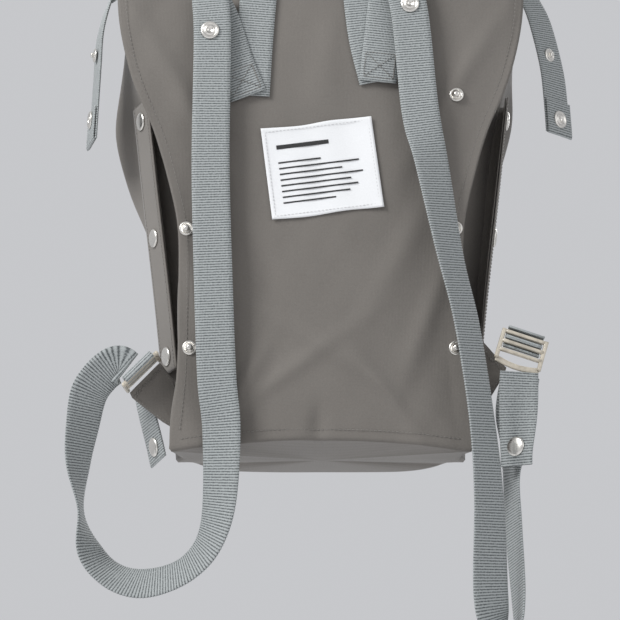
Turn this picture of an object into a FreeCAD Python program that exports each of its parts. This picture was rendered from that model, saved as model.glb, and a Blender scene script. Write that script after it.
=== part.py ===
"""Soft upright backpack-style bag with webbing straps, hanging from its grab handle.

Frame: +Z up, -Y the side worn against the back, +X to the right seen from that side.
The origin is the underside of the grab handle's bend, where a hook holds the bag.
Heights in the design are counted from the bag's floor, and depths from its middle;
every finished shape is then shifted so that the handle's bend is at the origin.
"""
import FreeCAD, Part
import math
import os
import Sketcher

Vector = FreeCAD.Vector
doc = FreeCAD.newDocument("StickBag")

# Driving sizes, millimetres.
SIZES = {
    "bag_depth": 110.0,
    "cloth": 2.4,
    "webbing_width": 30.0,
    "webbing_thick": 1.6,
    "floor_half": 117.0,
    "hip_half": 111.0,
    "waist_half": 112.0,
    "chest_half": 132.0,
    "collar_half": 153.0,
    "shoulder_half": 165.0,
    "mouth_half": 169.0,
    "hip_up": 60.0,
    "waist_up": 180.0,
    "chest_up": 255.0,
    "collar_up": 300.0,
    "shoulder_up": 350.0,
    "mouth_up": 450.0,
    "hem_height": 24.0,
    "label_wide": 89.0,
    "label_high": 76.0,
    "label_thick": 0.8,
    "placket_wide": 31.0,
    "cap_radius": 7.5,
    "cap_rim": 1.2,
    "cap_crown": 1.3,
    "stud_radius": 5.5,
    "stud_rim": 1.4,
    "post_radius": 2.2,
    "post_length": 4.0,
    "lock_wide": 38.0,
    "lock_long": 27.0,
    "lock_thick": 3.4,
    "lock_rail": 3.4,
    "lock_slot": 5.6,
}
sizes = doc.addObject("Spreadsheet::Sheet", "Sizes")
for row, (name, value) in enumerate(SIZES.items(), start=1):
    sizes.set(f"A{row}", name)
    sizes.set(f"B{row}", str(value))
    sizes.setAlias(f"B{row}", name)
doc.recompute()

# Levels of the bag's outline: height, half width, how deep the side folds in behind the
# back edge, and how far it stands out at the placket's ridge and at the bulge in front of it.
LEVELS = [
    ("0", "floor_half", 5.0, 1.0, 2.0),
    ("hip_up", "hip_half", 28.0, 12.0, 16.0),
    ("waist_up", "waist_half", 28.0, 21.0, 28.0),
    ("chest_up", "chest_half", 27.0, 10.0, 42.0),
    ("collar_up", "collar_half", 22.0, -2.0, 27.0),
    ("shoulder_up", "shoulder_half", 13.0, 0.5, 3.0),
    ("mouth_up", "mouth_half", 6.0, 1.0, 2.0),
]
BULGE_SHARE = {"left": 1.0, "right": 0.55}
SIDES = {"left": -1, "right": 1}
nodes = []


def cell(expression):
    """Spell a size expression with its sheet's name in front of every alias."""
    for alias in sorted(SIZES, key=len, reverse=True):
        expression = expression.replace(alias, f"Sizes.<<{alias}>>")
    return expression.replace("<<", "").replace(">>", "")


def kept(thing, label):
    """Name a finished sub-part and count it in."""
    thing.Label = label
    nodes.append(thing)
    return thing


def polygon(sketch, corners):
    """Draw a closed polygon whose corners are pairs of size expressions."""
    points = [Vector(*(float(sketch.evalExpression(cell(c))) for c in pair)) for pair in corners]
    count = len(points)
    for i, point in enumerate(points):
        sketch.addGeometry(Part.LineSegment(point, points[(i + 1) % count]), False)
    for i in range(count):
        sketch.addConstraint(Sketcher.Constraint("Coincident", i, 2, (i + 1) % count, 1))
    for i, pair in enumerate(corners):
        for kind, axis, text, value in (("DistanceX", -2, pair[0], points[i].x),
                                        ("DistanceY", -1, pair[1], points[i].y)):
            if abs(value) < 1e-9:
                sketch.addConstraint(Sketcher.Constraint("PointOnObject", i, 1, axis))
            else:
                number = sketch.addConstraint(Sketcher.Constraint(kind, -1, 1, i, 1, value))
                sketch.setExpression(f"Constraints[{number}]", cell(text))


def plate(label, plane, corners, thickness, base):
    """Pad a polygon drawn on one of the body's own origin planes."""
    body = doc.addObject("PartDesign::Body", label + "_body")
    sketch = body.newObject("Sketcher::SketchObject", label + "_outline")
    role = next(f for f in body.Origin.OriginFeatures if f.Role == plane)
    sketch.AttachmentSupport = [(role, "")]
    sketch.MapMode = "FlatFace"
    polygon(sketch, corners)
    pad = body.newObject("PartDesign::Pad", label + "_pad")
    pad.Profile = sketch
    pad.setExpression("Length", cell(thickness))
    for axis, text in zip("xyz", base):
        body.setExpression(f"Placement.Base.{axis}", cell(text))
    return kept(body, label)


def loft(label, sections):
    """Join closed section sketches, in order, with straight-ruled sides."""
    solid = doc.addObject("Part::Loft", label + "_loft")
    solid.Sections = sections
    solid.Solid = True
    solid.Ruled = True
    return solid


def station(name, centre, across, along, half_wide, half_thick):
    """Draw a rectangle square to a strap's run, at one place on it."""
    along = Vector(along).normalize()
    across = Vector(across)
    across = (across - along * across.dot(along)).normalize()
    turn = FreeCAD.Rotation(across, along.cross(across), along, "ZXY")
    sketch = doc.addObject("Sketcher::SketchObject", name)
    polygon(sketch, [("-" + half_wide, "-" + half_thick), (half_wide, "-" + half_thick),
                     (half_wide, half_thick), ("-" + half_wide, half_thick)])
    sketch.Placement = FreeCAD.Placement(Vector(*centre), turn)
    return sketch


def strap(label, route, half_wide="webbing_width / 2", half_thick="webbing_thick / 2"):
    """Loft a strap through its route: places, each with the direction across the strap."""
    centres = [Vector(*place) for place, across in route]
    sections = []
    for i, (place, across) in enumerate(route):
        before = centres[max(i - 1, 0)]
        after = centres[min(i + 1, len(route) - 1)]
        steps = [s.normalize() for s in (centres[i] - before, after - centres[i]) if s.Length > 0]
        along = steps[0] + steps[-1]
        sections.append(station(f"{label}_{i}", place, across, along, half_wide, half_thick))
    solid = loft(label, sections)
    length = sum((b - a).Length for a, b in zip(centres, centres[1:]))
    print(f"{label}: {length:.0f} mm long")
    return kept(solid, label)


def disc(name, radius, height, place, normal, top=None):
    """Make a cylinder, or a cone when a top radius is given, standing on a place."""
    solid = doc.addObject("Part::Cone" if top else "Part::Cylinder", name)
    if top:
        solid.setExpression("Radius1", cell(radius))
        solid.setExpression("Radius2", cell(top))
    else:
        solid.setExpression("Radius", cell(radius))
    solid.setExpression("Height", cell(height))
    turn = FreeCAD.Rotation(Vector(0, 0, 1), Vector(*normal))
    solid.Placement = FreeCAD.Placement(Vector(*place), turn)
    return solid


def fused(name, pieces):
    """Fuse the pieces of one solid."""
    solid = doc.addObject("Part::MultiFuse", name)
    solid.Shapes = pieces
    return solid


def group(label, solids):
    """Keep identical fasteners together as separate solids of one sub-part."""
    compound = doc.addObject("Part::Compound", label + "_group")
    compound.Links = solids
    return kept(compound, label)


def snap_cap(name, place, normal):
    """Smooth outer cap of a press stud: a rim with a low crown."""
    normal = Vector(*normal).normalize()
    rim = disc(name + "_rim", "cap_radius", "cap_rim", place, normal)
    crown_place = Vector(*place) + normal * SIZES["cap_rim"]
    crown = disc(name + "_crown", "cap_radius", "cap_crown", crown_place, normal, "cap_radius * 0.6")
    return fused(name, [rim, crown])


def snap_stud(name, place, normal):
    """Inner half of a press stud: a ring with a post standing in its middle."""
    ring = disc(name + "_ring", "stud_radius", "stud_rim", place, normal)
    post = disc(name + "_post", "post_radius", "post_length", place, normal)
    return fused(name, [ring, post])


def build_shell():
    """Make the fabric shell: two panels, two folded sides, a floor and the mouth's hems."""
    right = [(half, up) for up, half, *side_offsets in LEVELS]
    left = [("-" + half, up) for half, up in reversed(right)]
    plate("back_panel", "XZ_Plane", right + left, "cloth", ("0", "-bag_depth / 2", "0"))
    plate("front_panel", "XZ_Plane", right + left, "cloth", ("0", "bag_depth / 2 + cloth", "0"))
    plate("bottom_panel", "XY_Plane",
          [("-floor_half", "-bag_depth / 2 - cloth"), ("floor_half", "-bag_depth / 2 - cloth"),
           ("floor_half", "bag_depth / 2 + cloth"), ("-floor_half", "bag_depth / 2 + cloth")],
          "cloth", ("0", "0", "-cloth"))
    hem = [("-mouth_half", "mouth_up - hem_height"), ("mouth_half", "mouth_up - hem_height"),
           ("mouth_half", "mouth_up"), ("-mouth_half", "mouth_up")]
    plate("back_hem", "XZ_Plane", hem, "cloth / 2", ("0", "-bag_depth / 2 - cloth", "0"))
    plate("front_hem", "XZ_Plane", hem, "cloth / 2", ("0", "bag_depth / 2 + cloth * 1.5", "0"))
    for side, sign in SIDES.items():
        build_gusset(side, sign)


def build_gusset(side, sign):
    """Make one side: it folds inwards behind the back edge and bulges out further forward."""
    sections = []
    for i, (up, half, fold, ridge, bulge) in enumerate(LEVELS):
        swell = bulge * BULGE_SHARE[side]
        outside = [(f"{half}", "-bag_depth / 2"), (f"({half} - {fold})", "-bag_depth * 0.16"),
                   (f"({half} + {ridge})", "bag_depth * 0.1"),
                   (f"({half} + {swell})", "bag_depth * 0.36"), (f"{half}", "bag_depth / 2")]
        inside = [(f"({x} - cloth)", y) for x, y in reversed(outside)]
        corners = [(f"{sign} * {x}", y) for x, y in outside + inside]
        sketch = doc.addObject("Sketcher::SketchObject", f"{side}_gusset_{i}")
        polygon(sketch, corners)
        sketch.setExpression("Placement.Base.z", cell(up))
        sections.append(sketch)
    kept(loft(f"{side}_gusset", sections), f"{side}_gusset")


# The side placket: a stiff double strip from the bulge towards the back edge.
PLACKET_TOP = 298.0
PLACKET_FOOT = 70.0
PLACKET_SEWN_TOP = (157.0, 8.0)
PLACKET_SEWN_FOOT = (128.0, 8.0)
PLACKET_LEANS = {"left": (-14.0, -26.0), "right": (-3.0, -29.4)}
CAP_HEIGHTS = (283.0, 182.0, 83.0)
STUD_PLACES = {
    "left": ((106.0, 175.0), (102.0, 79.0)),
    "right": ((109.0, 286.0), (106.0, 175.0), (105.0, 79.0)),
}


def build_placket(side, sign):
    """Make one placket with its three caps, and the studs on the back panel's edge."""
    lean = Vector(*PLACKET_LEANS[side], 0)
    middle_top = Vector(*PLACKET_SEWN_TOP, PLACKET_TOP) + lean / 2
    middle_foot = Vector(*PLACKET_SEWN_FOOT, PLACKET_FOOT) + lean / 2
    across = (sign * lean.x, lean.y, 0)
    route = [((sign * p.x, p.y, p.z), across) for p in (middle_top, middle_foot)]
    strap(f"{side}_placket", route, "placket_wide / 2", "cloth / 2")
    run = (middle_foot - middle_top).normalize()
    normal = lean.cross(run).normalize()
    if normal.x < 0:
        normal = normal * -1
    caps = []
    for i, height in enumerate(CAP_HEIGHTS):
        share = (PLACKET_TOP - height) / (PLACKET_TOP - PLACKET_FOOT)
        spot = middle_top + (middle_foot - middle_top) * share + normal * (SIZES["cloth"] / 2)
        caps.append(snap_cap(f"{side}_placket_cap_{i}", (sign * spot.x, spot.y, spot.z),
                             (sign * normal.x, normal.y, normal.z)))
    group(f"{side}_placket_caps", caps)
    face = -SIZES["bag_depth"] / 2 - SIZES["cloth"]
    studs = [snap_stud(f"{side}_stud_{i}", (sign * x, face, z), (0, -1, 0))
             for i, (x, z) in enumerate(STUD_PLACES[side])]
    group(f"{side}_edge_studs", studs)


def build_label():
    """Make the sewn cloth label, turned a little, on the back panel."""
    body = plate("label", "XZ_Plane",
                 [("-label_wide / 2", "-label_high / 2"), ("label_wide / 2", "-label_high / 2"),
                  ("label_wide / 2", "label_high / 2"), ("-label_wide / 2", "label_high / 2")],
                 "label_thick", ("1", "-bag_depth / 2 - cloth", "225"))
    body.setExpression("Placement.Rotation.Axis.y", "-1")
    body.setExpression("Placement.Rotation.Axis.z", "0")
    body.setExpression("Placement.Rotation.Angle", "7.3")


FACE = -58.7     # the middle of webbing that lies flat on the back panel
OVER = -60.9     # the middle of webbing that lies on that webbing

HANDLE_ROUTE = [
    ((-56, FACE, 286), (1, 0, -0.1)), ((-53, FACE, 340), (1, 0, -0.1)),
    ((-48, -59.2, 400), (1, 0, -0.1)), ((-43, -62.5, 438), (1, -0.06, 0)),
    ((-38, -67, 463), (0.95, -0.3, 0)), ((-28, -68, 491), (0.75, -0.66, 0)),
    ((-15, -68, 511), (0.3, -0.95, 0)), ((0, -68, 520), (0, -1, 0)),
    ((15, -68, 511), (-0.3, -0.95, 0)), ((23, -68, 491), (-0.75, -0.66, 0)),
    ((26, -67, 463), (-0.95, -0.3, 0)), ((28, -62.5, 438), (-1, -0.06, 0)),
    ((31, -59.2, 400), (-1, 0, -0.2)), ((37, FACE, 340), (-1, 0, -0.2)),
    ((46, FACE, 298), (-1, 0, -0.2)),
]

LEFT_STRAP_ROUTE = [
    ((-58, OVER, 285), (1, 0, -0.3)), ((-80, OVER, 348), (1, 0, -0.3)),
    ((-87, -61, 364), (1, 0, -0.2)), ((-89, -64.5, 369), (1, 0, 0)),
    ((-89, -68, 364), (1, 0, 0)), ((-87, -70, 329), (1, 0, 0)),
    ((-87, -70, 226), (1, 0, 0)), ((-80, -70, 55), (1, 0, 0)),
    ((-76, -68, 14), (1, -0.2, 0)), ((-77, -64, -40), (0.9, -0.5, 0)),
    ((-84, -60, -70), (0.6, -0.65, -0.5)), ((-98, -55, -88), (0.3, -0.66, -0.6)),
    ((-117, -50, -98), (0, -0.66, -0.75)), ((-139, -46, -101), (0, -0.66, -0.75)),
    ((-160, -42, -94), (-0.3, -0.75, -0.6)), ((-176, -40, -77), (-0.5, -0.85, -0.3)),
    ((-185, -38, -45), (0, -1, 0)), ((-188, -40, -8), (-0.5, -0.85, 0)),
    ((-185, -42, 22), (-0.75, -0.62, 0.1)), ((-181, -43, 45), (-0.8, -0.45, 0.4)),
    ((-173, -44, 58), (-0.45, -0.4, 0.8)), ((-164, -45, 66), (0, -0.3, 0.95)),
    ((-157, -45, 68), (0.35, -0.2, 0.9)), ((-152, -45, 64.5), (0.65, -0.1, 0.75)),
]

RIGHT_STRAP_ROUTE = [
    ((46, OVER, 297), (1, 0, -0.1)), ((52, OVER, 350), (1, 0, -0.1)),
    ((57, -61, 388), (1, 0, -0.1)), ((61, -64.5, 394), (1, 0, 0)),
    ((64, -68, 388), (1, 0, 0.1)), ((72, -70, 351), (1, 0, 0.1)),
    ((79, -70, 270), (1, 0, 0.15)), ((87, -72, 226), (0.92, 0.38, 0)),
    ((100, -74, 150), (0.75, 0.66, 0)), ((112, -74, 94), (0.7, 0.7, 0)),
    ((122, -72, 20), (0.7, 0.7, 0)), ((126, -70, -40), (0.8, 0.6, 0)),
    ((126, -66, -110), (0.9, 0.42, 0)), ((130, -62, -136), (0.7, 0.7, 0)),
    ((138, -58, -146), (0.3, 0.9, 0)), ((147, -52, -136), (0, 1, 0)),
    ((149, -46, -110), (-0.2, 1, 0)), ((148, -36, -60), (-0.3, 1, 0)),
    ((148, -31, -20), (-0.3, 1, 0)), ((150, -35, 8), (-0.6, 0.8, 0)),
    ((151, -40, 34), (-0.9, 0.25, 0)), ((156, -42, 60), (-0.93, 0, 0.36)),
]

# Ladder locks: middle, direction across the strap, direction along the strap towards the tail.
LOCKS = {
    "left": ((-140.5, -38, 63.5), (0.7, 0, 0.71), (0, 1, 0)),
    "right": ((157, -45, 80), (0.93, 0, -0.36), (-0.3, -0.25, -0.9)),
}
TAILS = {
    "left": [((-143, -14, 57), (0.45, -0.85, 0.1)), ((-139, -14, 38), (0.45, -0.85, 0.1)),
             ((-132, -15, 12), (0.45, -0.85, 0.1)), ((-128, -17, -4), (0.45, -0.85, 0.1))],
    "right": [((154, -50, 61), (0.95, 0, -0.25)), ((152, -54, 30), (0.93, -0.3, -0.05)),
              ((149.5, -56, 0), (0.75, -0.66, 0)), ((149, -56, -13), (0.7, -0.7, 0))],
}
TABS = {
    "left": [(-150, 48), (-127, 72), (-116, 58), (-108, 36), (-114, 19), (-124, 25), (-148, 44)],
    "right": [(146, 68), (126, 92), (114, 70), (107, 40), (113, 21), (124, 30), (144, 62)],
}


def build_carrying_straps():
    """Make the grab handle and the two shoulder straps with their socket snaps."""
    strap("grab_handle", HANDLE_ROUTE)
    strap("left_shoulder_strap", LEFT_STRAP_ROUTE)
    strap("right_shoulder_strap", RIGHT_STRAP_ROUTE)
    group("left_strap_socket", [snap_stud("left_socket", (-89, -70.8, 337), (0, -1, 0))])
    group("right_strap_socket", [snap_stud("right_socket", (72, -70.8, 360), (0, -1, 0))])


def lock_frame(name, side):
    """Make a ladder lock: a rectangular frame with two webbing slots and a bar between."""
    centre, across, along = LOCKS[side]
    along = Vector(*along).normalize()
    across = Vector(*across)
    across = (across - along * across.dot(along)).normalize()
    turn = FreeCAD.Rotation(across, along, across.cross(along), "ZXY")
    frame = FreeCAD.Placement(Vector(*centre), turn)

    def block(part, wide, long, thick, shift):
        box = doc.addObject("Part::Box", f"{name}_{part}")
        box.setExpression("Length", cell(wide))
        box.setExpression("Width", cell(long))
        box.setExpression("Height", cell(thick))
        corner = Vector(-float(box.evalExpression(cell(wide))) / 2,
                        shift - float(box.evalExpression(cell(long))) / 2,
                        -float(box.evalExpression(cell(thick))) / 2)
        box.Placement = frame.multiply(FreeCAD.Placement(corner, FreeCAD.Rotation()))
        return box

    plate_block = block("plate", "lock_wide", "lock_long", "lock_thick", 0)
    slot_wide = "lock_wide - 2 * lock_rail"
    slots = [block(f"slot_{i}", slot_wide, "lock_slot", "lock_thick * 3", shift)
             for i, shift in enumerate((-7.4, 0.8, 8.6))]
    cutter = fused(f"{name}_slots", slots)
    cut = doc.addObject("Part::Cut", f"{name}_cut")
    cut.Base = plate_block
    cut.Tool = cutter
    return kept(cut, name)


def build_strap_end(side, sign):
    """Make the lower strap fittings: corner tab, ladder lock, tail and the tail's cap."""
    lock_frame(f"{side}_ladder_lock", side)
    strap(f"{side}_strap_tail", TAILS[side])
    end = Vector(*TAILS[side][2][0])
    run = Vector(*TAILS[side][3][0]) - end
    normal = Vector(*TAILS[side][3][1]).cross(run).normalize()
    if normal.y > 0:
        normal = normal * -1
    spot = end + normal * (SIZES["webbing_thick"] / 2 + 0.6)
    group(f"{side}_tail_cap", [snap_cap(f"{side}_tail_snap", tuple(spot), tuple(normal))])
    corners = [(str(x), str(z)) for x, z in TABS[side]]
    plate(f"{side}_corner_tab", "XZ_Plane", corners, "cloth", ("0", "-bag_depth * 0.28", "0"))


MOUTH_STRAPS = {
    "left": [(178, 396), (183, 380), (187, 358), (188, 328), (189, 298), (190, 266)],
    "right": [(177, 398), (185, 380), (191, 356), (196, 328), (198, 300), (199, 274)],
}
MOUTH_STRAP_TURNS = {"left": (0.3, 0.954), "right": (0.75, 0.661)}


def build_side_strap(side, sign):
    """Make the short strap at the side of the mouth, with a snap near each end."""
    run = MOUTH_STRAPS[side]
    wide, deep = MOUTH_STRAP_TURNS[side]
    strap(f"{side}_side_strap", [((sign * x, 0, z), (sign * wide, deep, 0)) for x, z in run])
    outward = Vector(sign * deep, -wide, 0)
    half = SIZES["webbing_thick"] / 2
    spots = []
    for (x, z), (next_x, next_z), height, gap in ((*run[2:4], 344, 0.9), (*run[4:6], 286, 0.4)):
        middle = x + (next_x - x) * (z - height) / (z - next_z)
        spots.append(Vector(sign * middle, 0, height) + outward * (half + gap))
    upper, lower = spots
    group(f"{side}_side_socket", [snap_stud(f"{side}_upper_snap", tuple(upper), tuple(outward))])
    group(f"{side}_side_cap", [snap_cap(f"{side}_lower_snap", tuple(lower), tuple(outward))])


build_shell()
build_label()
build_carrying_straps()
for side, sign in SIDES.items():
    build_placket(side, sign)
    build_strap_end(side, sign)
    build_side_strap(side, sign)
doc.recompute()

bend = Vector(*HANDLE_ROUTE[len(HANDLE_ROUTE) // 2][0])
to_bend = Vector(0, 0, SIZES["webbing_thick"] / 2) - bend
for thing in doc.Objects:
    if "Invalid" in thing.State or "Error" in thing.State:
        raise RuntimeError(f"{thing.Label} failed: {thing.State}")

os.makedirs("parts", exist_ok=True)
for node in nodes:
    shape = node.Shape.copy()
    shape.translate(to_bend)
    if shape.isNull() or not shape.isValid():
        raise RuntimeError(f"{node.Label} has no valid shape")
    print(f"{node.Label}: {len(shape.Solids)} solid, {shape.Volume / 1000:.2f} cm3")
    shape.exportStep(f"parts/{node.Label}.step")
print(len(nodes), "nodes")
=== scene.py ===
"""Looks of the hanging stick bag: cloth shell, ribbed webbing, snaps, ladder locks and label."""
import math
import bpy
import numpy as np
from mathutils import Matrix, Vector, noise


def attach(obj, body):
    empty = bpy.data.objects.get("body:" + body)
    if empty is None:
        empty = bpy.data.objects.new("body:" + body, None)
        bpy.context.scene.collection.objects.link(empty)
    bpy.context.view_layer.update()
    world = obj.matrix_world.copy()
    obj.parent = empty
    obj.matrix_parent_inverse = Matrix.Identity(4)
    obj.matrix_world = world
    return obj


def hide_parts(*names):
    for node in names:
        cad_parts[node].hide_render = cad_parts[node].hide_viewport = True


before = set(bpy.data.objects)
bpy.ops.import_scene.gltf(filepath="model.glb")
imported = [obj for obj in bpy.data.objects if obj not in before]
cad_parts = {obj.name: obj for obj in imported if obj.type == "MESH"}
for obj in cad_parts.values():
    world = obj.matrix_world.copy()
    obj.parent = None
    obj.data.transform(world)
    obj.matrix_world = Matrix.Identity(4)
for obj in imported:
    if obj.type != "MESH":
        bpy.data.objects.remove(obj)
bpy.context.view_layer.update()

# The design counts depth from the bag's middle and height from its floor, in millimetres.
SHIFT = np.array([0.0, 68.0, -519.2])
BACK = -57.4
SIDES = {"left": -1, "right": 1}


def place(points):
    """Turn design millimetres into the row frame's metres."""
    return (np.asarray(points, float) + SHIFT) / 1000


# ---------------------------------------------------------------- materials

def material(name, slot_colour, roughness, metallic=0.0):
    """Start a material with a Principled shader and hand back its node tree's tools."""
    made = bpy.data.materials.new(name)
    made.use_nodes = True
    tree = made.node_tree
    shader = tree.nodes["Principled BSDF"]
    shader.inputs["Base Color"].default_value = (*slot_colour, 1)
    shader.inputs["Roughness"].default_value = roughness
    shader.inputs["Metallic"].default_value = metallic
    return made, tree, shader


def node(tree, kind, links=(), **values):
    """Add a shader node, set its values, and link (input, output socket) pairs."""
    made = tree.nodes.new(kind)
    for key, value in values.items():
        if key in made.inputs:
            made.inputs[key].default_value = value
        else:
            setattr(made, key, value)
    for socket, source in links:
        tree.links.new(source, made.inputs[socket])
    return made


def maths(tree, operation, first, second):
    """Add a Math node; each operand is a socket or a number."""
    made = tree.nodes.new("ShaderNodeMath")
    made.operation = operation
    for i, value in enumerate((first, second)):
        if isinstance(value, (int, float)):
            made.inputs[i].default_value = value
        else:
            tree.links.new(value, made.inputs[i])
    return made.outputs[0]


def ramp(tree, source, stops):
    """Map a value to colours through a colour ramp."""
    made = node(tree, "ShaderNodeValToRGB", [("Fac", source)])
    while len(made.color_ramp.elements) < len(stops):
        made.color_ramp.elements.new(0.5)
    for element, (spot, colour) in zip(made.color_ramp.elements, stops):
        element.position = spot
        element.color = (*colour, 1)
    return made.outputs["Color"]


def scaled(colour, factor):
    return tuple(c * factor for c in colour)


def bumped(tree, shader, height, strength, distance):
    bump = node(tree, "ShaderNodeBump", [("Height", height)], Strength=strength, Distance=distance)
    tree.links.new(bump.outputs["Normal"], shader.inputs["Normal"])


def cloth_material(name, colour, pitch=0.0011, slub=0.12):
    """Plain-woven cloth: crossing threads, slubs, soft blotches and a faint sheen."""
    made, tree, shader = material(name, colour, 0.88)
    where = tree.nodes.new("ShaderNodeTexCoord").outputs["Object"]
    threads = [maths(tree, "ABSOLUTE", maths(tree, "SINE", maths(
        tree, "MULTIPLY", node(tree, "ShaderNodeSeparateXYZ", [("Vector", where)]).outputs[axis],
        math.pi / pitch), 0.0), 0.0) for axis in ("X", "Z")]
    weave = maths(tree, "MAXIMUM", threads[0], threads[1])
    blotch = node(tree, "ShaderNodeTexNoise", [("Vector", where)], Scale=9.0, Detail=5.0)
    fleck = node(tree, "ShaderNodeTexNoise", [("Vector", where)], Scale=900.0, Detail=2.0)
    tone = maths(tree, "ADD", maths(tree, "MULTIPLY", blotch.outputs["Fac"], 0.55),
                 maths(tree, "MULTIPLY", fleck.outputs["Fac"], 0.45))
    tint = ramp(tree, tone, [(0.3, scaled(colour, 1 - slub)), (0.5, colour),
                             (0.72, scaled(colour, 1 + slub))])
    tree.links.new(tint, shader.inputs["Base Color"])
    shader.inputs["Sheen Weight"].default_value = 0.25
    shader.inputs["Sheen Roughness"].default_value = 0.5
    shader.inputs["Specular IOR Level"].default_value = 0.25
    height = maths(tree, "ADD", maths(tree, "MULTIPLY", weave, 0.7),
                   maths(tree, "MULTIPLY", fleck.outputs["Fac"], 0.6))
    bumped(tree, shader, height, 0.35, 0.0006)
    return made


def webbing_material(name, light, dark, pitch):
    """Ribbed webbing: painted shade darkens the grooves between ribs, with fine yarns along the strap
    and random grain.
    """
    made, tree, shader = material(name, light, 0.7)
    where = tree.nodes.new("ShaderNodeTexCoord").outputs["UV"]
    parts = node(tree, "ShaderNodeSeparateXYZ", [("Vector", where)])
    rib = maths(tree, "COSINE", maths(tree, "MULTIPLY", parts.outputs["Y"], 2 * math.pi / pitch), 0.0)
    yarn = maths(tree, "SINE", maths(tree, "MULTIPLY", parts.outputs["X"], 2 * math.pi / 0.0012), 0.0)
    grain = node(tree, "ShaderNodeTexNoise", [("Vector", where)], Scale=700.0, Detail=2.0)
    # The rib wave darkens the colour in each groove: painted shade on top of the real rib relief and
    # bump. Yarn and grain are the webbing's own tone.
    tone = maths(tree, "ADD", maths(tree, "MULTIPLY", rib, 0.34),
                 maths(tree, "ADD", maths(tree, "MULTIPLY", yarn, 0.06), grain.outputs["Fac"]))
    tint = ramp(tree, tone, [(0.18, dark), (0.5, scaled(light, 0.82)), (0.85, light)])
    tree.links.new(tint, shader.inputs["Base Color"])
    shader.inputs["Sheen Weight"].default_value = 0.15
    bumped(tree, shader, maths(tree, "ADD", rib, maths(tree, "MULTIPLY", yarn, 0.3)), 0.4, 0.0004)
    return made


def metal_material(name, colour):
    """Satin nickel with fine scuffs."""
    made, tree, shader = material(name, colour, 0.3, 1.0)
    where = tree.nodes.new("ShaderNodeTexCoord").outputs["Object"]
    scuff = node(tree, "ShaderNodeTexNoise", [("Vector", where)], Scale=420.0, Detail=4.0)
    rough = maths(tree, "MULTIPLY_ADD", scuff.outputs["Fac"], 0.35)
    rough.node.inputs[2].default_value = 0.14
    tree.links.new(rough, shader.inputs["Roughness"])
    bumped(tree, shader, scuff.outputs["Fac"], 0.12, 0.0002)
    return made


def plastic_material(name, colour):
    """Moulded cream plastic with a slight grain and rubbed tone."""
    made, tree, shader = material(name, colour, 0.38)
    where = tree.nodes.new("ShaderNodeTexCoord").outputs["Object"]
    wear = node(tree, "ShaderNodeTexNoise", [("Vector", where)], Scale=160.0, Detail=4.0)
    tint = ramp(tree, wear.outputs["Fac"], [(0.35, scaled(colour, 0.78)), (0.6, colour)])
    tree.links.new(tint, shader.inputs["Base Color"])
    shader.inputs["Coat Weight"].default_value = 0.2
    bumped(tree, shader, wear.outputs["Fac"], 0.1, 0.0003)
    return made


RIB = 0.0021
CANVAS = cloth_material("warm grey canvas", (0.158, 0.146, 0.132))
LINING = cloth_material("dark lining", (0.07, 0.066, 0.062))
LABEL = cloth_material("white label cloth", (0.78, 0.79, 0.80), pitch=0.0008, slub=0.04)
# The second colour is the painted shade of the grooves between ribs.
WEBBING = webbing_material("grey webbing", (0.36, 0.385, 0.385), (0.075, 0.085, 0.088), RIB)
METAL = metal_material("satin nickel", (0.72, 0.70, 0.66))
PLASTIC = plastic_material("cream plastic", (0.56, 0.51, 0.42))
THREAD = cloth_material("grey thread", (0.20, 0.19, 0.175), pitch=0.0006)
WHITE_THREAD = cloth_material("white thread", (0.62, 0.62, 0.62), pitch=0.0006)
INK = cloth_material("dark woven bars", (0.035, 0.035, 0.035), pitch=0.0006)


# ---------------------------------------------------------------- meshes

def mesh_piece(name, vertices, faces, finish, body, uvs=None, smooth=True):
    """Make an object from metres, give it a material, and let it ride on its body."""
    mesh = bpy.data.meshes.new(name)
    mesh.from_pydata([tuple(v) for v in vertices], [], faces)
    if uvs is not None:
        layer = mesh.uv_layers.new(name="UVMap")
        for loop in mesh.loops:
            layer.data[loop.index].uv = uvs[loop.vertex_index]
    mesh.materials.append(finish)
    mesh.polygons.foreach_set("use_smooth", [smooth] * len(mesh.polygons))
    mesh.update()
    piece = bpy.data.objects.new(name, mesh)
    bpy.context.scene.collection.objects.link(piece)
    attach(piece, body)
    return piece


def grid_faces(rows, columns, around, start=0):
    """Quads of a grid of vertices; around closes each row into a ring."""
    last = columns if around else columns - 1
    faces = []
    for r in range(rows - 1):
        for c in range(last):
            a = start + r * columns + c
            b = start + r * columns + (c + 1) % columns
            faces.append((a, b, b + columns, a + columns))
    return faces


def spline(points, count):
    """Pass a smooth Catmull-Rom curve through points (any number of columns), evenly stepped."""
    p = np.asarray(points, float)
    p = np.vstack([2 * p[0] - p[1], p, 2 * p[-1] - p[-2]])
    fine = []
    for i in range(1, len(p) - 2):
        t = np.linspace(0, 1, 40, endpoint=False)[:, None]
        a, b, c, d = p[i - 1], p[i], p[i + 1], p[i + 2]
        fine.append(0.5 * (2 * b + (c - a) * t + (2 * a - 5 * b + 4 * c - d) * t ** 2
                           + (3 * b - a - 3 * c + d) * t ** 3))
    fine = np.vstack(fine + [p[-2][None, :]])
    run = np.r_[0, np.cumsum(np.linalg.norm(np.diff(fine[:, :3], axis=0), axis=1))]
    even = np.linspace(0, run[-1], count)
    return np.column_stack([np.interp(even, run, fine[:, k]) for k in range(fine.shape[1])]), run[-1]


def unit(v):
    return v / np.linalg.norm(v, axis=-1, keepdims=True)


def ribbon_frame(route, step):
    """Centres, across and face directions along a strap, in metres, and its length."""
    table = np.array([[*centre, *unit(np.array(across, float))] for centre, across in route])
    length = spline(table, 400)[1]
    rows, length = spline(table, max(int(length / step) + 1, 8))
    centres = place(rows[:, :3])
    along = unit(np.gradient(centres, axis=0))
    across = rows[:, 3:]
    across = unit(across - along * np.sum(across * along, axis=1, keepdims=True))
    return centres, along, across, np.cross(along, across), length / 1000


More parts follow.
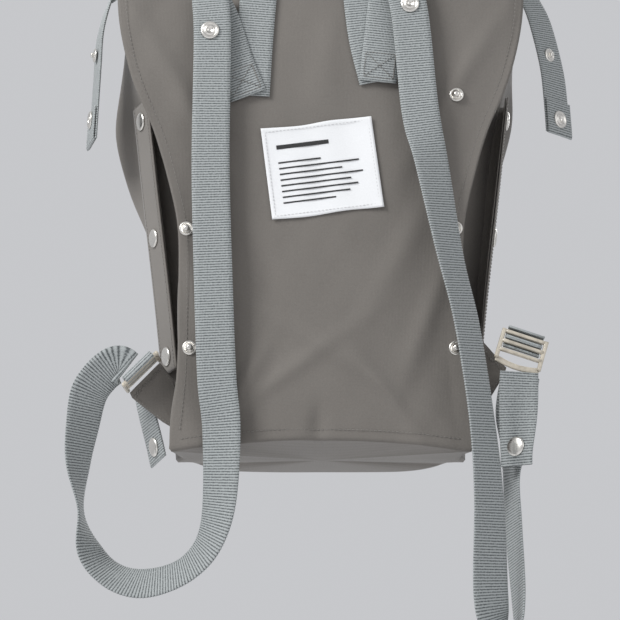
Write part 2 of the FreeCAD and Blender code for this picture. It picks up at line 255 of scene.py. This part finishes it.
def ribbon(name, route, body, finish, wide=0.030, thick=0.0016, ribs=True, crown=0.0):
    """A strap: a flat, round-edged section along a route, with real ribs when it is webbing."""
    step = RIB * 1000 / 4 if ribs else 3.0
    centres, along, across, face, length = ribbon_frame(route, step)
    half = wide / 2
    u = np.linspace(-1, 1, 9)
    top = np.column_stack([u * (half - 0.0004), thick / 2 + crown * (1 - u ** 2)])
    edge = np.array([[half, 0.0]])
    section = np.vstack([top, edge, np.column_stack([top[::-1, 0], top[::-1, 1] - thick]), -edge])
    upper = np.array([1.0] * 9 + [0.0] + [-1.0] * 9 + [0.0])
    run = np.linspace(0, length, len(centres))
    relief = 0.00022 * np.cos(2 * math.pi * run / RIB) if ribs else np.zeros(len(run))
    scallop = 0.00012 * np.cos(2 * math.pi * run / RIB) if ribs else relief
    vertices, uvs = [], []
    for i in range(len(centres)):
        x = section[:, 0] + np.sign(section[:, 0]) * scallop[i] * (np.abs(section[:, 0]) > half - 0.001)
        z = section[:, 1] + upper * relief[i]
        vertices.append(centres[i] + x[:, None] * across[i] + z[:, None] * face[i])
        uvs += [(x_ + half, run[i]) for x_ in section[:, 0]]
    count = len(section)
    faces = grid_faces(len(centres), count, True)
    faces.append(tuple(range(count))[::-1])
    faces.append(tuple((len(centres) - 1) * count + c for c in range(count)))
    piece = mesh_piece(name, np.vstack(vertices), faces, finish, body, uvs)
    return piece, length, (centres, along, across, face)


def lathe(name, profile, spots, body, finish, sides=40):
    """Turn a (radius, height) profile, in millimetres, about each (place, normal) spot."""
    profile = np.array(profile, float) / 1000
    vertices, faces = [], []
    angles = np.linspace(0, 2 * math.pi, sides, endpoint=False)
    for centre, normal in spots:
        normal = unit(np.array(normal, float))
        first = unit(np.cross(normal, (0.3, 0.5, 0.81)))
        second = np.cross(normal, first)
        start = len(vertices)
        for radius, height in profile:
            for angle in angles:
                spoke = first * math.cos(angle) + second * math.sin(angle)
                vertices.append(place(centre) + spoke * radius + normal * height)
        faces += grid_faces(len(profile), sides, True, start)
        faces.append(tuple(start + i for i in range(sides))[::-1])
        top = start + (len(profile) - 1) * sides
        faces.append(tuple(top + i for i in range(sides)))
    return mesh_piece(name, vertices, faces, finish, body)


CAP = [(7.3, 0), (7.6, 0.3), (7.6, 0.9), (7.3, 1.4), (6.4, 1.9), (4.6, 2.3), (2.4, 2.48), (0.3, 2.5)]
STUD = [(5.6, 0), (5.9, 0.4), (5.6, 1.1), (4.9, 1.5), (4.2, 1.2), (3.6, 0.6), (2.7, 0.5), (2.2, 0.9),
        (1.9, 2.2), (2.3, 3.1), (2.1, 3.8), (1.2, 4.1), (0.2, 4.15)]
SOCKET = [(7.3, 0), (7.6, 0.5), (7.2, 1.3), (6.2, 1.8), (5.4, 1.5), (4.9, 1.0), (4.2, 1.0), (3.9, 1.7),
          (3.2, 2.0), (2.7, 1.6), (2.4, 0.5), (0.2, 0.45)]


def stitches(name, lines, body, finish, pitch=3.0, size=0.55):
    """Rows of thread: small rounded dashes along polylines given as (points, normal)."""
    vertices, faces = [], []
    for points, normal in lines:
        points = np.asarray(points, float)
        run = np.r_[0, np.cumsum(np.linalg.norm(np.diff(points, axis=0), axis=1))]
        normal = unit(np.array(normal, float))
        for i in range(max(int(run[-1] / pitch), 1)):
            ends = [(i + 0.14) * pitch, (i + 0.86) * pitch]
            a, b = (np.array([np.interp(e, run, points[:, k]) for k in range(3)]) for e in ends)
            along = unit(b - a)
            side = np.cross(along, normal)
            start = len(vertices)
            for spot, fat, lift in ((a, 0.35, 0.0), (a + (b - a) * 0.25, 1, 0.16),
                                    (a + (b - a) * 0.75, 1, 0.16), (b, 0.35, 0.0)):
                for k in range(6):
                    angle = k * math.pi / 3
                    offset = side * math.cos(angle) + normal * math.sin(angle)
                    vertices.append(place(spot + normal * lift + offset * size / 2 * fat))
            faces += grid_faces(4, 6, True, start)
            faces.append(tuple(start + k for k in range(6))[::-1])
            faces.append(tuple(start + 18 + k for k in range(6)))
    return mesh_piece(name, vertices, faces, finish, body)


# ---------------------------------------------------------------- cloth shell

LEVEL_UP = np.array([0, 60, 180, 255, 300, 350, 450.0])
HALF = np.array([117, 111, 112, 132, 153, 165, 169.0])
FOLD = np.array([5, 28, 28, 27, 22, 13, 6.0])
RIDGE = np.array([1, 13, 23, 12, 0, 1, 1.0])
BULGE = np.array([2, 16, 28, 42, 27, 3, 2.0])
BULGE_SHARE = {-1: 1.0, 1: 0.55}


def eased(values, up, spread=16.0):
    """Read a level value at a height, rounded off between levels."""
    offsets = np.linspace(-2, 2, 9)
    weights = np.exp(-offsets ** 2 / 2)
    reads = [np.interp(np.clip(up + o * spread, 0, 450), LEVEL_UP, values) for o in offsets]
    return np.tensordot(weights / weights.sum(), np.array(reads), axes=1)


def ridge_fold(x, z, at, lean, wide, height, middle, reach):
    """A soft fold in the cloth: a leaning ridge that fades out up and down."""
    across = (x - at - (z - middle) * lean) / wide
    return height * math.exp(-across ** 2) * math.exp(-((z - middle) / reach) ** 2)


BACK_FOLDS = [
    (-62, 0.55, 9, 3.6, 45, 38), (50, -0.7, 8, 3.2, 40, 34), (-25, 1.3, 12, 2.4, 58, 40),
    (20, -1.5, 13, 2.2, 66, 44), (88, 0.35, 9, 2.8, 118, 60), (-100, -0.25, 8, 2.6, 128, 60),
    (62, 0.5, 14, 2.6, 152, 50), (-30, -0.6, 16, 1.8, 140, 46), (112, 0.6, 10, 3.0, 300, 60),
    (-118, -0.55, 10, 3.2, 300, 62), (10, 0.15, 20, 2.4, 318, 50), (96, -0.4, 12, 2.0, 232, 48),
]


def back_relief(x, z):
    """How far the back cloth stands out from its plane, in millimetres."""
    soft = noise.noise(Vector((x / 95, z / 130, 3.1))) * 3.4
    crease = noise.noise(Vector(((x + z * 0.6) / 52, (z - x * 0.5) / 170, 9.4)))
    fine = noise.noise(Vector(((x - z * 0.4) / 21, (z + x * 0.3) / 60, 14.7))) * 0.7
    low_part = math.exp(-max(z, 0) / 90)
    relief = soft + fine + crease * (1.3 + 2.2 * low_part)
    relief += sum(ridge_fold(x, z, *fold) for fold in BACK_FOLDS)
    relief -= 3.2 * math.exp(-((x + 2) / 7) ** 2) * math.exp(-((z - 12) / 18) ** 2)
    on_label = math.exp(-((x - 1) / 52) ** 4 - ((z - 225) / 46) ** 4)
    sewn = sum(math.exp(-((x - at) / 34) ** 4) for at in (-60, 46)) / (1 + math.exp(-(z - 268) / 6))
    held = max(on_label * 0.8, min(sewn, 1))
    return relief * (1 - held) - 0.4 * held


def back_point(x, z, lift=0.0):
    """A point on the back cloth, in design millimetres, lifted off it by lift."""
    return (x, BACK - back_relief(x, z) - lift, z)


def side_profile(up, sign):
    """One side of the plan outline, from the back edge to the front corner."""
    half, fold, ridge, bulge = (float(eased(v, up)) for v in (HALF, FOLD, RIDGE, BULGE))
    bulge *= BULGE_SHARE[sign]
    corners = [(half, BACK), (half - 1, -52), (half - fold, -19), (half + ridge, 10),
               (half + bulge, 38), (half + 1, 54), (half - 3, 58)]
    points = []
    for (a, b), count in zip(zip(corners, corners[1:]), (6, 26, 24, 22, 14, 6)):
        points += [np.array(a) + (np.array(b) - a) * t / count for t in range(count)]
    points = np.array(points)
    kernel = np.array([1, 2, 3, 4, 3, 2, 1]) / 16
    padded = np.vstack([points[:1]] * 3 + [points] + [points[-1:]] * 3)
    soft = np.column_stack([np.convolve(padded[:, k], kernel, "valid") for k in range(2)])
    soft[0] = points[0]
    return soft * (sign, 1)


def ring(up):
    """The shell's outline in plan at one height, in design millimetres, back edge first."""
    half = float(eased(HALF, up))
    across = np.linspace(half - 3, -(half - 3), 97)
    puff = 4.5 * np.clip(1 - (across / half) ** 2, 0, 1) * math.sin(math.pi * min(up, 440) / 450) ** 0.7
    front = np.column_stack([across, 58 + puff])
    back = np.column_stack([np.linspace(-half, half, 129)[1:-1], np.full(127, BACK)])
    return np.vstack([side_profile(up, 1), front, side_profile(up, -1)[::-1], back])


def shell_point(x, y, up):
    """Add sag, folds and the raised middle of the back edge to a plan point."""
    behind = min(max((-y - 20) / 37, 0), 1)
    lift = 9 * max(1 - (x / 117) ** 2, 0) * math.exp(-up / 45) * behind
    if y < BACK + 0.01:
        edge = min((eased(HALF, up) - abs(x)) / 12, 1)
        y -= back_relief(x, up) * edge
    elif y > 57:
        y += 1.6 * noise.noise(Vector((x / 70, up / 90, 21))) + 1.5 * noise.noise(
            Vector(((x - up * 0.5) / 45, up / 160, 5)))
    else:
        side = 1 if x > 0 else -1
        x += side * 2.6 * noise.noise(Vector((y / 26, up / 48, 7 + side)))
    ahead = min(max(y, 0) / 58, 1)
    lift += 8 * (abs(x) / 117) ** 6 * math.exp(-up / 22) * ahead if up < 80 else 0
    x *= 1 - 0.10 * math.exp(-up / 18) * ahead
    hem = 0.9 if up > 427 else 0.0
    y += hem * (1 if y > 57 else -1 if y < BACK + 3 else 0)
    drop = 2.5 * math.exp(-((450 - up) / 30) ** 2) * math.cos(x / 52) if y > 0 else 0
    return x, y, up + lift - drop


def build_shell():
    """Loft the bag from its plan rings, close its floor, and give the cloth a thickness."""
    levels = np.unique(np.r_[np.linspace(0, 12, 6), np.arange(14, 451, 3.0), 450])
    rows = [[shell_point(x, y, up) for x, y in ring(up)] for up in levels]
    floor = []
    edge = np.array(rows[0])
    for share in (0.985, 0.96, 0.9, 0.8, 0.65, 0.45, 0.25, 0.06):
        inner = edge.copy()
        inner[:, :2] *= share
        inner[:, 2] = edge[:, 2] * share - 2.2 + 1.5 * (1 - share)
        floor.insert(0, inner)
    rows = [*floor, *[np.array(r) for r in rows]]
    count = len(rows[0])
    faces = grid_faces(len(rows), count, True)
    faces.append(tuple(range(count))[::-1])
    piece = mesh_piece("cloth_shell", place(np.vstack(rows)), faces, CANVAS, "bag")
    piece.data.materials.append(LINING)
    thick = piece.modifiers.new("thickness", "SOLIDIFY")
    thick.thickness = 0.0016
    thick.offset = -1
    thick.material_offset = 1
    thick.material_offset_rim = 0
    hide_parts("back_panel", "front_panel", "left_gusset", "right_gusset", "bottom_panel",
                "back_hem", "front_hem")
    return piece


shell = build_shell()


def outward(mesh_object):
    """Turn a closed-looking surface's faces so that they look away from its middle."""
    mesh = mesh_object.data
    middle = np.mean([v.co for v in mesh.vertices], axis=0)
    facing = sum(p.normal.dot(p.center - Vector(middle)) * p.area for p in mesh.polygons)
    if facing < 0:
        mesh.flip_normals()


outward(shell)


def seam_lines():
    """Top-stitching: the hem, the back panel's edges and the floor's seam."""
    lines = []
    for up in (428, 446):
        xs = np.linspace(-159, 159, 90)
        lines.append(([back_point(x, up, 1.1) for x in xs], (0, -1, 0)))
        lines.append(([(x, shell_point(x, 58 + 0.01, up)[1] + 0.4, shell_point(x, 58.1, up)[2])
                       for x in xs], (0, 1, 0)))
    for sign in (-1, 1):
        ups = np.linspace(14, 424, 140)
        edge = [sign * (float(eased(HALF, up)) - 7) for up in ups]
        lines.append(([back_point(x, up, 0.3) for x, up in zip(edge, ups)], (0, -1, 0)))
    xs = np.linspace(-108, 108, 70)
    lines.append(([back_point(x, 6 + 9 * (1 - (x / 117) ** 2), 0.3) for x in xs], (0, -1, 0)))
    return lines


stitches("shell_stitching", seam_lines(), "bag", THREAD, pitch=3.4, size=0.5)


# ---------------------------------------------------------------- plackets, tabs, studs

LEANS = {"left": (-14.0, -26.0, 0.0), "right": (-3.0, -29.4, 0.0)}
STUDS = {"left": [(106, 175), (102, 79)], "right": [(109, 286), (106, 175), (105, 79)]}


def placket(side, sign):
    """The double strip on one side, its root of cloth, its caps and the panel's studs."""
    body = f"{side}_placket_flap"
    top, foot, lean = np.array([157, 8, 298.0]), np.array([128, 8, 70.0]), np.array(LEANS[side])
    mirror = np.array([sign, 1, 1])
    normal = unit(np.cross(lean, foot - top))
    normal = normal if normal[0] > 0 else -normal
    for k, (offset, reach) in enumerate(((0.85, 0.52), (-0.75, 0.47))):
        route = []
        for share in np.linspace(0, 1, 12):
            wave = 1.0 * math.sin(share * 7 + k * 0.8) * share
            middle = top + (foot - top) * share + lean * reach + normal * (offset + wave * 0.5)
            route.append((middle * mirror, lean * mirror))
        name = f"{side}_placket_{'outer' if k == 0 else 'inner'}"
        ribbon(name, route, body, CANVAS, wide=0.0305, thick=0.0011, ribs=False)[0]
    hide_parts(f"{side}_placket")
    spots = []
    for height in (283, 182, 83):
        share = (298 - height) / 228
        spot = top + (foot - top) * share + lean / 2 + normal * (1.5 + 0.5 * math.sin(share * 7) * share)
        spots.append((spot * mirror, normal * mirror))
    caps = lathe(f"{side}_placket_snaps", CAP, spots, body, METAL)
    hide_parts(f"{side}_placket_caps")
    rows = []
    for share in np.linspace(-0.01, 1.01, 40):
        line = top + (foot - top) * share
        ridge = float(eased(HALF, line[2]) + eased(RIDGE, line[2]))
        start = np.array([ridge - 3, 10, line[2]])
        end = line + lean * 0.06
        rows.append([(start + (end - start) * t + normal * 0.8 * math.sin(math.pi * t)) * mirror
                     for t in np.linspace(0, 1, 6)])
    root = mesh_piece(f"{side}_placket_root", place(np.vstack(rows)), grid_faces(40, 6, False),
                      CANVAS, "bag")
    thick = root.modifiers.new("thickness", "SOLIDIFY")
    thick.thickness = 0.0018
    thick.offset = 0
    edge_lines = []
    for reach in (0.1, 0.92):
        points = [(top + (foot - top) * s + lean * reach
                   + normal * (1.5 + 0.5 * math.sin(s * 7) * s)) * mirror
                  for s in np.linspace(0.01, 0.99, 60)]
        edge_lines.append((points, normal * mirror))
    stitches(f"{side}_placket_stitching", edge_lines, body, THREAD, size=0.5)
    studs = [((sign * x, back_point(sign * x, z)[1] + 0.2, z), (0, -1, 0))
             for x, z in STUDS[side]]
    rings = lathe(f"{side}_panel_studs", STUD, studs, "bag", METAL)
    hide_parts(f"{side}_edge_studs")


TABS = {
    "left": [(-150, 48), (-127, 72), (-116, 58), (-108, 36), (-114, 19), (-124, 25), (-148, 44)],
    "right": [(146, 68), (126, 92), (114, 70), (107, 40), (113, 21), (124, 30), (144, 62)],
}


def corner_tab(side):
    """The cloth tab that carries a ladder lock, slightly bowed, with its stitching."""
    corners = np.array(TABS[side], float)
    middle = corners.mean(axis=0)
    outline = []
    for a, b in zip(corners, np.roll(corners, -1, axis=0)):
        outline += [a + (b - a) * t for t in np.linspace(0, 1, 8, endpoint=False)]
    outline = np.array(outline)
    rows = []
    for share in (0.12, 0.3, 0.5, 0.75, 0.92, 1.0):
        flat = middle + (outline - middle) * share
        bow = -32 - 1.6 * (1 - share ** 2) + 0.5 * np.sin(flat[:, 0] / 9)
        rows.append(np.column_stack([flat[:, 0], bow, flat[:, 1]]))
    count = len(outline)
    faces = grid_faces(len(rows), count, True) + [tuple(range(count))[::-1]]
    tab = mesh_piece(f"{side}_tab_cloth", place(np.vstack(rows)), faces, CANVAS, "bag")
    thick = tab.modifiers.new("thickness", "SOLIDIFY")
    thick.thickness = 0.0022
    thick.offset = 0
    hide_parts(f"{side}_corner_tab")
    start, end = corners[0], corners[1]
    inward = unit(middle - (start + end) / 2)
    zigzag = []
    for i in range(25):
        depth = 3.0 if i % 2 else 6.5
        spot = start + (end - start) * (0.06 + 0.88 * i / 24) + inward * depth
        zigzag.append((spot[0], -34.6, spot[1]))
    border = [(*(c + (middle - c) * 0.12), 0) for c in corners]
    border = [(x, -33.9, z) for x, z, _ in border[1:] + border[:1]]
    stitches(f"{side}_tab_stitching", [(zigzag, (0, -1, 0)), (border, (0, -1, 0))], "bag", THREAD,
             pitch=2.6, size=0.55)


# ---------------------------------------------------------------- label

def build_label():
    """The sewn white label: curled a little at its edges, with plain woven bars."""
    turn = math.radians(7.3)
    rows = []
    columns, lines = 45, 37
    for j in range(lines):
        for i in range(columns):
            u, v = i / (columns - 1) - 0.5, j / (lines - 1) - 0.5
            x, z = u * 89, v * 76 + 1.2 * math.sin(u * 9) * abs(v)
            across_x = 1 + x * math.cos(turn) - z * math.sin(turn)
            along_z = 225 + x * math.sin(turn) + z * math.cos(turn)
            curl = 0.5 + 1.1 * (2 * abs(u)) ** 6 + 0.9 * (2 * abs(v)) ** 8 + 0.25 * math.sin(x / 5)
            rows.append(back_point(across_x, along_z, curl))
    sheet = mesh_piece("label_cloth", place(rows), grid_faces(lines, columns, False), LABEL, "bag")
    thick = sheet.modifiers.new("thickness", "SOLIDIFY")
    thick.thickness = 0.0005
    thick.offset = 0
    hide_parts("label")

    def on_label(x, z, lift):
        across_x = 1 + x * math.cos(turn) - z * math.sin(turn)
        along_z = 225 + x * math.sin(turn) + z * math.cos(turn)
        return back_point(across_x, along_z, lift)

    frame_line = [(-41.5, -35), (41.5, -35), (41.5, 35), (-41.5, 35), (-41.5, -35)]
    path = []
    for (ax, az), (bx, bz) in zip(frame_line, frame_line[1:]):
        path += [on_label(ax + (bx - ax) * t, az + (bz - az) * t, 1.5) for t in np.linspace(0, 1, 16)]
    stitches("label_stitching", [(path, (0, -1, 0))], "bag", WHITE_THREAD, pitch=3.0, size=0.5)
    vertices, faces = [], []
    bars = [(-34, 8, 21.5, 3.4)] + [(-34, end, z, 1.2) for z, end in
                                    zip(np.linspace(8.5, -25, 8), (0, 30, 16, 32, 22, 27, 20, 8))]
    for begin, end, z, high_ in bars:
        steps = max(int((end - begin) / 3), 2)
        start = len(vertices)
        for t in np.linspace(begin, end, steps):
            vertices += [on_label(t, z - high_ / 2, 1.25), on_label(t, z + high_ / 2, 1.25)]
        faces += [(start + 2 * k, start + 2 * k + 2, start + 2 * k + 3, start + 2 * k + 1)
                  for k in range(steps - 1)]
    bars_piece = mesh_piece("label_bars", place(vertices), faces, INK, "bag", smooth=False)
    depth = bars_piece.modifiers.new("thickness", "SOLIDIFY")
    depth.thickness = 0.0002


build_label()

# ---------------------------------------------------------------- webbing

FACE = -58.9
OVER = -61.0
HANDLE = [
    ((-56, FACE, 286), (1, 0, -0.1)), ((-53, FACE, 340), (1, 0, -0.1)),
    ((-48, -59.2, 400), (1, 0, -0.1)), ((-43, -62.5, 438), (1, -0.06, 0)),
    ((-38, -67, 463), (0.95, -0.3, 0)), ((-28, -68, 491), (0.75, -0.66, 0)),
    ((-15, -68, 511), (0.3, -0.95, 0)), ((0, -68, 520), (0, -1, 0)),
    ((15, -68, 511), (-0.3, -0.95, 0)), ((23, -68, 491), (-0.75, -0.66, 0)),
    ((26, -67, 463), (-0.95, -0.3, 0)), ((28, -62.5, 438), (-1, -0.06, 0)),
    ((31, -59.2, 400), (-1, 0, -0.2)), ((37, FACE, 340), (-1, 0, -0.2)),
    ((46, FACE, 298), (-1, 0, -0.2)),
]
STRAPS = {
    "left": [
        ((-58, OVER, 285), (1, 0, -0.3)), ((-69, OVER, 313), (1, 0, -0.3)),
        ((-80, OVER, 348), (1, 0, -0.3)),
        ((-87, -61, 364), (1, 0, -0.2)), ((-89, -64.5, 369), (1, 0, 0)),
        ((-89, -68, 364), (1, 0, 0)), ((-87, -70, 329), (1, 0, 0)),
        ((-87, -70, 226), (1, 0, 0)), ((-84, -70, 140), (1, 0, 0)), ((-80, -70, 55), (1, 0, 0)),
        ((-76, -68, 14), (1, -0.2, 0)), ((-77, -64, -40), (0.9, -0.5, 0)),
        ((-84, -60, -70), (0.6, -0.65, -0.5)), ((-98, -55, -88), (0.3, -0.66, -0.6)),
        ((-117, -50, -98), (0, -0.66, -0.75)), ((-139, -46, -101), (0, -0.66, -0.75)),
        ((-160, -42, -94), (-0.3, -0.75, -0.6)), ((-176, -40, -77), (-0.5, -0.85, -0.3)),
        ((-185, -38, -45), (0, -1, 0)), ((-188, -40, -8), (-0.5, -0.85, 0)),
        ((-185, -42, 22), (-0.75, -0.62, 0.1)), ((-181, -43, 45), (-0.8, -0.45, 0.4)),
        ((-173, -44, 58), (-0.45, -0.4, 0.8)), ((-164, -45, 66), (0, -0.3, 0.95)),
        ((-157, -45, 68), (0.35, -0.2, 0.9)), ((-152, -45, 64.5), (0.65, -0.1, 0.75)),
    ],
    "right": [
        ((46, OVER, 297), (1, 0, -0.1)), ((52, OVER, 350), (1, 0, -0.1)),
        ((57, -61, 388), (1, 0, -0.1)), ((61, -64.5, 394), (1, 0, 0)),
        ((64, -68, 388), (1, 0, 0.1)), ((72, -70, 351), (1, 0, 0.1)),
        ((79, -70, 270), (1, 0, 0.15)), ((87, -72, 226), (0.92, 0.38, 0)),
        ((100, -74, 150), (0.75, 0.66, 0)), ((112, -74, 94), (0.7, 0.7, 0)),
        ((122, -72, 20), (0.7, 0.7, 0)), ((126, -70, -40), (0.8, 0.6, 0)),
        ((126, -66, -110), (0.9, 0.42, 0)), ((130, -62, -136), (0.7, 0.7, 0)),
        ((138, -58, -146), (0.3, 0.9, 0)), ((147, -52, -136), (0, 1, 0)),
        ((149, -46, -110), (-0.2, 1, 0)), ((148, -36, -60), (-0.3, 1, 0)),
        ((148, -31, -20), (-0.3, 1, 0)), ((150, -35, 8), (-0.6, 0.8, 0)),
        ((151, -40, 34), (-0.9, 0.25, 0)), ((156, -42, 60), (-0.93, 0, 0.36)),
    ],
}
TAILS = {
    "left": [((-143, -14, 57), (0.45, -0.85, 0.1)), ((-139, -14, 38), (0.45, -0.85, 0.1)),
             ((-132, -15, 12), (0.45, -0.85, 0.1)), ((-128, -17, -4), (0.45, -0.85, 0.1))],
    "right": [((154, -50, 61), (0.95, 0, -0.25)), ((152, -54, 30), (0.93, -0.3, -0.05)),
              ((149.5, -56, 0), (0.75, -0.66, 0)), ((149, -56, -13), (0.7, -0.7, 0))],
}
MOUTH_STRAPS = {
    "left": [(178, 396), (183, 380), (187, 358), (188, 328), (189, 298), (190, 266)],
    "right": [(177, 398), (185, 380), (191, 356), (196, 328), (198, 300), (199, 274)],
}
MOUTH_STRAP_TURNS = {"left": (0.3, 0.954), "right": (0.75, 0.661)}


def box_stitch(route_end, across, along, normal):
    """A sewn box with a cross in it, where webbing is held down."""
    c = np.array(route_end, float)
    corners = [c + across * u * 12 + along * v for u, v in
               ((-1, 3), (1, 3), (1, 24), (-1, 24), (-1, 3), (1, 24), (1, 3), (-1, 24))]
    path = []
    for a, b in zip(corners, corners[1:]):
        path += [a + (b - a) * t for t in np.linspace(0, 1, 8)]
    return [(path, normal)]


def build_straps():
    """The grab handle, both shoulder straps and their sockets, with sewn-down ends."""
    handle, length, _ = ribbon("handle_webbing", HANDLE, "bag", WEBBING)
    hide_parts("grab_handle")
    for side in SIDES:
        body = f"{side}_strap"
        strap, length, _ = ribbon(f"{side}_strap_webbing", STRAPS[side], body, WEBBING)
        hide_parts(f"{side}_shoulder_strap")
        first, second = (np.array(STRAPS[side][k][0], float) for k in (0, 1))
        along = unit(second - first)
        across = np.cross(along, (0, -1, 0))
        lines = box_stitch(first + (0, -1.1, 0), across, along, (0, -1, 0))
        stitches(f"{side}_anchor_stitching", lines, body, THREAD, pitch=2.4, size=0.6)
        spot = (-89, -70.9, 337) if side == "left" else (72, -70.9, 360)
        ring_piece = lathe(f"{side}_socket_snap", SOCKET, [(spot, (0, -1, 0))], body, METAL)
        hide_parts(f"{side}_strap_socket")


def lock_axes(side):
    centre, across, along = {
        "left": ((-140.5, -38, 63.5), (0.7, 0, 0.71), (0, 1, 0)),
        "right": ((157, -45, 80), (0.93, 0, -0.36), (-0.3, -0.25, -0.9)),
    }[side]
    along = unit(np.array(along, float))
    across = np.array(across, float)
    across = unit(across - along * across.dot(along))
    return np.array(centre, float), across, along, np.cross(across, along)


def bar(vertices, faces, path, radii):
    """Add a round-cornered bar: a tube along a path with an oval section."""
    path = np.asarray(path, float)
    start = len(vertices)
    tangents = unit(np.gradient(path, axis=0))
    for spot, tangent, (wide, tall, up) in zip(path, tangents, radii):
        side = unit(np.cross(tangent, up))
        for k in range(12):
            angle = 2 * math.pi * k / 12
            c, s = math.cos(angle), math.sin(angle)
            shape = (abs(c) ** 0.6 * np.sign(c) * wide, abs(s) ** 0.6 * np.sign(s) * tall)
            vertices.append(place(spot + side * shape[0] + np.array(up) * shape[1]))
    faces += grid_faces(len(path), 12, True, start)
    faces.append(tuple(start + k for k in range(12))[::-1])
    faces.append(tuple(start + (len(path) - 1) * 12 + k for k in range(12)))


def ladder_lock(side):
    """A moulded ladder lock: side rails, bars, a curved thumb lip, and webbing over its bars."""
    centre, across, along, normal = lock_axes(side)
    body = f"{side}_lock"
    vertices, faces = [], []

    def at(u, v, w):
        return centre + across * u + along * v + normal * w

    for sign in (-1, 1):
        path = [at(sign * 17.3, v, w) for v, w in zip(np.linspace(-13, 13, 12),
                                                     1.2 * np.cos(np.linspace(-1.5, 1.5, 12)))]
        bar(vertices, faces, path, [(1.7, 1.9, normal)] * 12)
    for v, fat in ((-12, 1.5), (-3.3, 1.5), (4.7, 1.4)):
        path = [at(u, v, 0.4) for u in np.linspace(-17, 17, 8)]
        bar(vertices, faces, path, [(fat, 1.7, normal)] * 8)
    lip = [at(u, 12.5 + 1.8 * math.cos(u / 11), 1.5 + 2.2 * math.cos(u / 12))
           for u in np.linspace(-17.5, 17.5, 18)]
    bar(vertices, faces, lip, [(2.4, 1.1, normal)] * 18)
    piece = mesh_piece(f"{side}_lock_frame", vertices, faces, PLASTIC, body)
    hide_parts(f"{side}_ladder_lock")
    for k, (v, radius) in enumerate(((-12, 4.4), (-3.0, 4.0))):
        arc = [(at(0, v - radius * math.cos(t), 0.4 + radius * math.sin(t)), across)
               for t in np.linspace(-0.35, math.pi + 0.35, 9)]
        ribbon(f"{side}_lock_wrap_{k}", arc, body, WEBBING, wide=0.0295, thick=0.0014)


def build_ends():
    """Ladder locks, tails with their caps, and the side straps of the mouth."""
    for side, sign in SIDES.items():
        ladder_lock(side)
        tail, length, (centres, along, across, face) = ribbon(
            f"{side}_tail_webbing", TAILS[side], f"{side}_tail", WEBBING)
        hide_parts(f"{side}_strap_tail")
        k = int(len(centres) * 0.8)
        normal = face[k] if face[k][1] < 0 else -face[k]
        spot = centres[k] * 1000 - SHIFT + normal * 0.9
        cap = lathe(f"{side}_tail_snap", CAP, [(spot, normal)], f"{side}_tail", METAL)
        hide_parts(f"{side}_tail_cap")
        body = f"{side}_mouth_strap"
        wide, deep = MOUTH_STRAP_TURNS[side]
        across = (sign * wide, deep, 0)
        outward_ = np.array([sign * deep, -wide, 0])
        run = MOUTH_STRAPS[side]
        route = [((sign * x, 0, z), across) for x, z in run]
        strap, length, _ = ribbon(f"{side}_mouth_webbing", route, body, WEBBING)
        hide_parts(f"{side}_side_strap")
        # A sewn root on the bag carries the side strap out to its hinge.
        top_x, top_z = run[0]
        root = [((sign * (top_x - back), 0, top_z + rise), (sign * turn, 0.96, 0))
                for back, rise, turn in ((11, 32, 0.1), (10.5, 20, 0.12), (7, 8, 0.2), (0.5, 0.5, 0.28))]
        ribbon(f"{side}_mouth_root", root, "bag", WEBBING)
        end_x, end_z = run[-1]
        fold = [((np.array([sign * (end_x + shift), 0, end_z + rise]) + outward_ * w), across)
                for rise, w, shift in ((0, 0.4, 0), (-1.2, 1.2, 0), (0, 2.2, 0),
                                       (12, 2.3, -0.4), (28, 2.2, -1))]
        ribbon(f"{side}_mouth_fold", fold, body, WEBBING, thick=0.0014)
        upper = np.array([sign * (run[2][0] + 1.8), 0, 344]) + outward_ * 1.2
        lower = np.array([sign * (end_x - 0.5), 0, 286]) + outward_ * 3.0
        ball = lathe(f"{side}_mouth_stud", STUD, [(upper, outward_)], body, METAL)
        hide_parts(f"{side}_side_socket")
        snap = lathe(f"{side}_mouth_snap", SOCKET, [(lower, outward_)], body, METAL)
        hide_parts(f"{side}_side_cap")


for side, sign in SIDES.items():
    placket(side, sign)
    corner_tab(side)
build_straps()
build_ends()

# ---------------------------------------------------------------- stage, light and camera

bpy.ops.mesh.primitive_plane_add(size=14, location=(0, 0, -1.05))
floor = bpy.context.object
floor.name = "studio_floor"
floor_finish, _, _ = material("pale floor", (0.76, 0.76, 0.77), 0.9)
floor.data.materials.append(floor_finish)

world = bpy.data.worlds.new("studio")
bpy.context.scene.world = world
world.use_nodes = True
world.node_tree.nodes["Background"].inputs["Color"].default_value = (0.86, 0.87, 0.9, 1)
world.node_tree.nodes["Background"].inputs["Strength"].default_value = 0.66


def area_light(name, spot, size, power):
    lamp = bpy.data.lights.new(name, "AREA")
    lamp.size = size
    lamp.energy = power
    holder = bpy.data.objects.new(name, lamp)
    holder.location = spot
    aim = Vector((0, 0.05, -0.35)) - Vector(spot)
    holder.rotation_euler = aim.to_track_quat("-Z", "Y").to_euler()
    bpy.context.scene.collection.objects.link(holder)


area_light("key", (-1.5, -1.1, 0.9), 0.9, 44)
area_light("fill", (1.4, -1.5, 0.2), 1.4, 8)
area_light("rim", (0.6, 1.6, 0.8), 1.2, 14)

camera_data = bpy.data.cameras.new("view")
camera_data.lens = 96.8
camera = bpy.data.objects.new("view", camera_data)
target = Vector(place((-8.6, BACK, 109)))
lift = math.radians(-13.5)
camera.location = target + Vector((0, -math.cos(lift), math.sin(lift))) * 1.3
camera.rotation_euler = (target - camera.location).to_track_quat("-Z", "Y").to_euler()
bpy.context.scene.collection.objects.link(camera)
bpy.context.scene.camera = camera
bpy.context.scene.view_settings.view_transform = "Standard"
